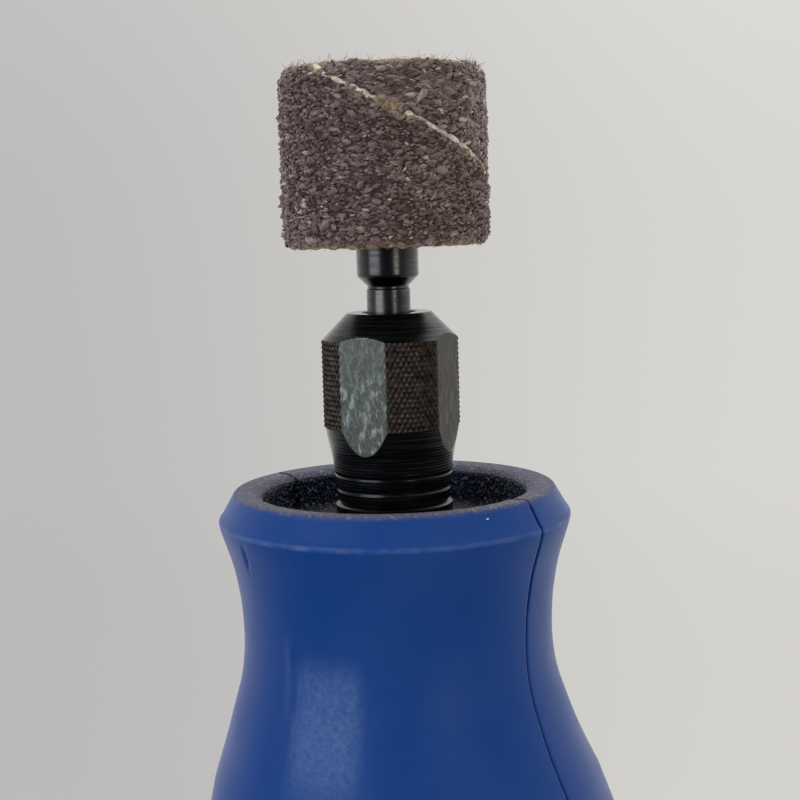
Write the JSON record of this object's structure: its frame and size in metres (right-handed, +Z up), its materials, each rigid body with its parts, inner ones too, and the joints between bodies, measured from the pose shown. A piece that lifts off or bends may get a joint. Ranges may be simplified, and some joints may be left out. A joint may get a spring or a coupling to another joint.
{
  "type": "rotary tool",
  "caption": "Hand-held motor rotary tool with a blue two-shell housing, collet nut, sanding drum, spindle lock, speed dial, power slider and hanging bail.",
  "frame": {"origin": "centre of the cord gland's mouth, on the spindle axis, in the plane of the tail face that the tool stands on", "axes": "+Z up the spindle axis from tail to nose; the two housing shells part on X = 0; -Y is the side of the spindle lock button and speed dial"},
  "size_m": [0.055, 0.0539, 0.2122],
  "materials": {
    "housing_blue": "fine satin moulded plastic",
    "screw_steel": "zinc plated, satin",
    "felt": "pressed wool felt",
    "black_rubber": "matt moulded rubber",
    "bearing_steel": "ground and polished",
    "spindle_steel": "turned and ground",
    "black_oxide_steel": "black oxide, oiled, worn on the edges",
    "abrasive": "aluminium oxide grit on a cloth and paper tube",
    "hub_plastic": "moulded nylon",
    "laminated_steel": "varnished laminations",
    "copper": "enamelled copper",
    "brush_brass": "drawn brass",
    "carbon": "pressed graphite",
    "spring_steel": "drawn spring wire",
    "black_plastic": "satin moulded plastic",
    "circuit_board": "green solder mask",
    "capacitor_film": "glossy box capacitor"
  },
  "bodies": {
    "housing": {"brush_caps": "black_plastic", "brush_holders": "brush_brass", "brush_springs": "spring_steel", "carbon_brushes": "carbon", "cord_gland": "black_rubber", "fan_baffle": "hub_plastic", "field_coils": "copper", "housing_left": "housing_blue", "housing_right": "housing_blue", "housing_screws": "screw_steel", "lock_spring": "spring_steel", "motor_front_bearing_outer_ring": "bearing_steel", "motor_rear_bearing_outer_ring": "bearing_steel", "nose_bearing_outer_ring": "bearing_steel", "nose_seal": "felt", "rear_bearing_bush": "black_rubber", "speed_board": "circuit_board", "speed_potentiometer": "hub_plastic", "spindle_rear_bearing_outer_ring": "bearing_steel", "stator_core": "laminated_steel", "suppression_capacitor": "capacitor_film", "switch_body": "hub_plastic"},
    "rotor": {"spindle": "spindle_steel", "armature_shaft": "spindle_steel", "armature_core": "laminated_steel", "armature_winding": "copper", "commutator": "copper", "cooling_fan": "hub_plastic", "coupling_front_hub": "hub_plastic", "coupling_rear_hub": "hub_plastic", "coupling_spider": "black_rubber", "motor_front_bearing_balls_and_cage": "bearing_steel", "motor_front_bearing_inner_ring": "bearing_steel", "motor_rear_bearing_balls_and_cage": "bearing_steel", "motor_rear_bearing_inner_ring": "bearing_steel", "nose_bearing_balls_and_cage": "bearing_steel", "nose_bearing_inner_ring": "bearing_steel", "spindle_rear_bearing_balls_and_cage": "bearing_steel", "spindle_rear_bearing_inner_ring": "bearing_steel"},
    "collet": {"collet": "black_oxide_steel"},
    "collet_nut": {"collet_nut": "black_oxide_steel"},
    "mandrel": {"mandrel": "black_oxide_steel", "lower_drum_washer": "screw_steel", "rubber_drum": "black_rubber", "upper_drum_washer": "screw_steel", "drum_screw": "screw_steel"},
    "sanding_sleeve": {"sanding_sleeve": "abrasive"},
    "lock_button": {"spindle_lock_button": "black_plastic", "lock_pin": "spindle_steel"},
    "power_slider": {"power_slider": "black_plastic"},
    "speed_dial": {"speed_dial": "black_plastic"},
    "hanging_bail": {"hanging_bail": "spring_steel"}
  },
  "joints": [
    {"name": "spindle_spin", "type": "hinge", "parent": "housing", "child": "rotor", "pos_m": [0, 0, 0.15], "axis": [0, 0, 1], "continuous": true},
    {"name": "collet_release", "type": "slide", "parent": "rotor", "child": "collet", "axis": [0, 0, 1], "range_m": [0, 0.00075]},
    {"name": "collet_nut_turn", "type": "hinge", "parent": "collet", "child": "collet_nut", "pos_m": [0, 0, 0.186], "axis": [0, 0, 1], "range_deg": [0, 360]},
    {"name": "mandrel_pull", "type": "slide", "parent": "collet", "child": "mandrel", "axis": [0, 0, 1], "range_m": [0, 0.029]},
    {"name": "sleeve_pull", "type": "slide", "parent": "mandrel", "child": "sanding_sleeve", "axis": [0, 0, 1], "range_m": [0, 0.0135]},
    {"name": "spindle_lock_press", "type": "slide", "parent": "housing", "child": "lock_button", "axis": [0, 1, 0], "range_m": [0, 0.0026], "stiffness_N_per_m": 900, "springref_m": -0.002, "deforming": ["lock_spring"]},
    {"name": "power_slide", "type": "slide", "parent": "housing", "child": "power_slider", "axis": [0, 0, 1], "range_m": [0, 0.006]},
    {"name": "speed_turn", "type": "hinge", "parent": "housing", "child": "speed_dial", "pos_m": [0, -0.0155, 0.022], "axis": [1, 0, 0], "range_deg": [0, 270]},
    {"name": "bail_swing", "type": "hinge", "parent": "housing", "child": "hanging_bail", "pos_m": [0, 0, 0.009], "axis": [-1, 0, 0], "range_deg": [0, 90]}
  ],
  "couplings": [
    {"joint": "collet_nut_turn", "follows": "collet_release", "rad_per_m": 8377.6}
  ]
}
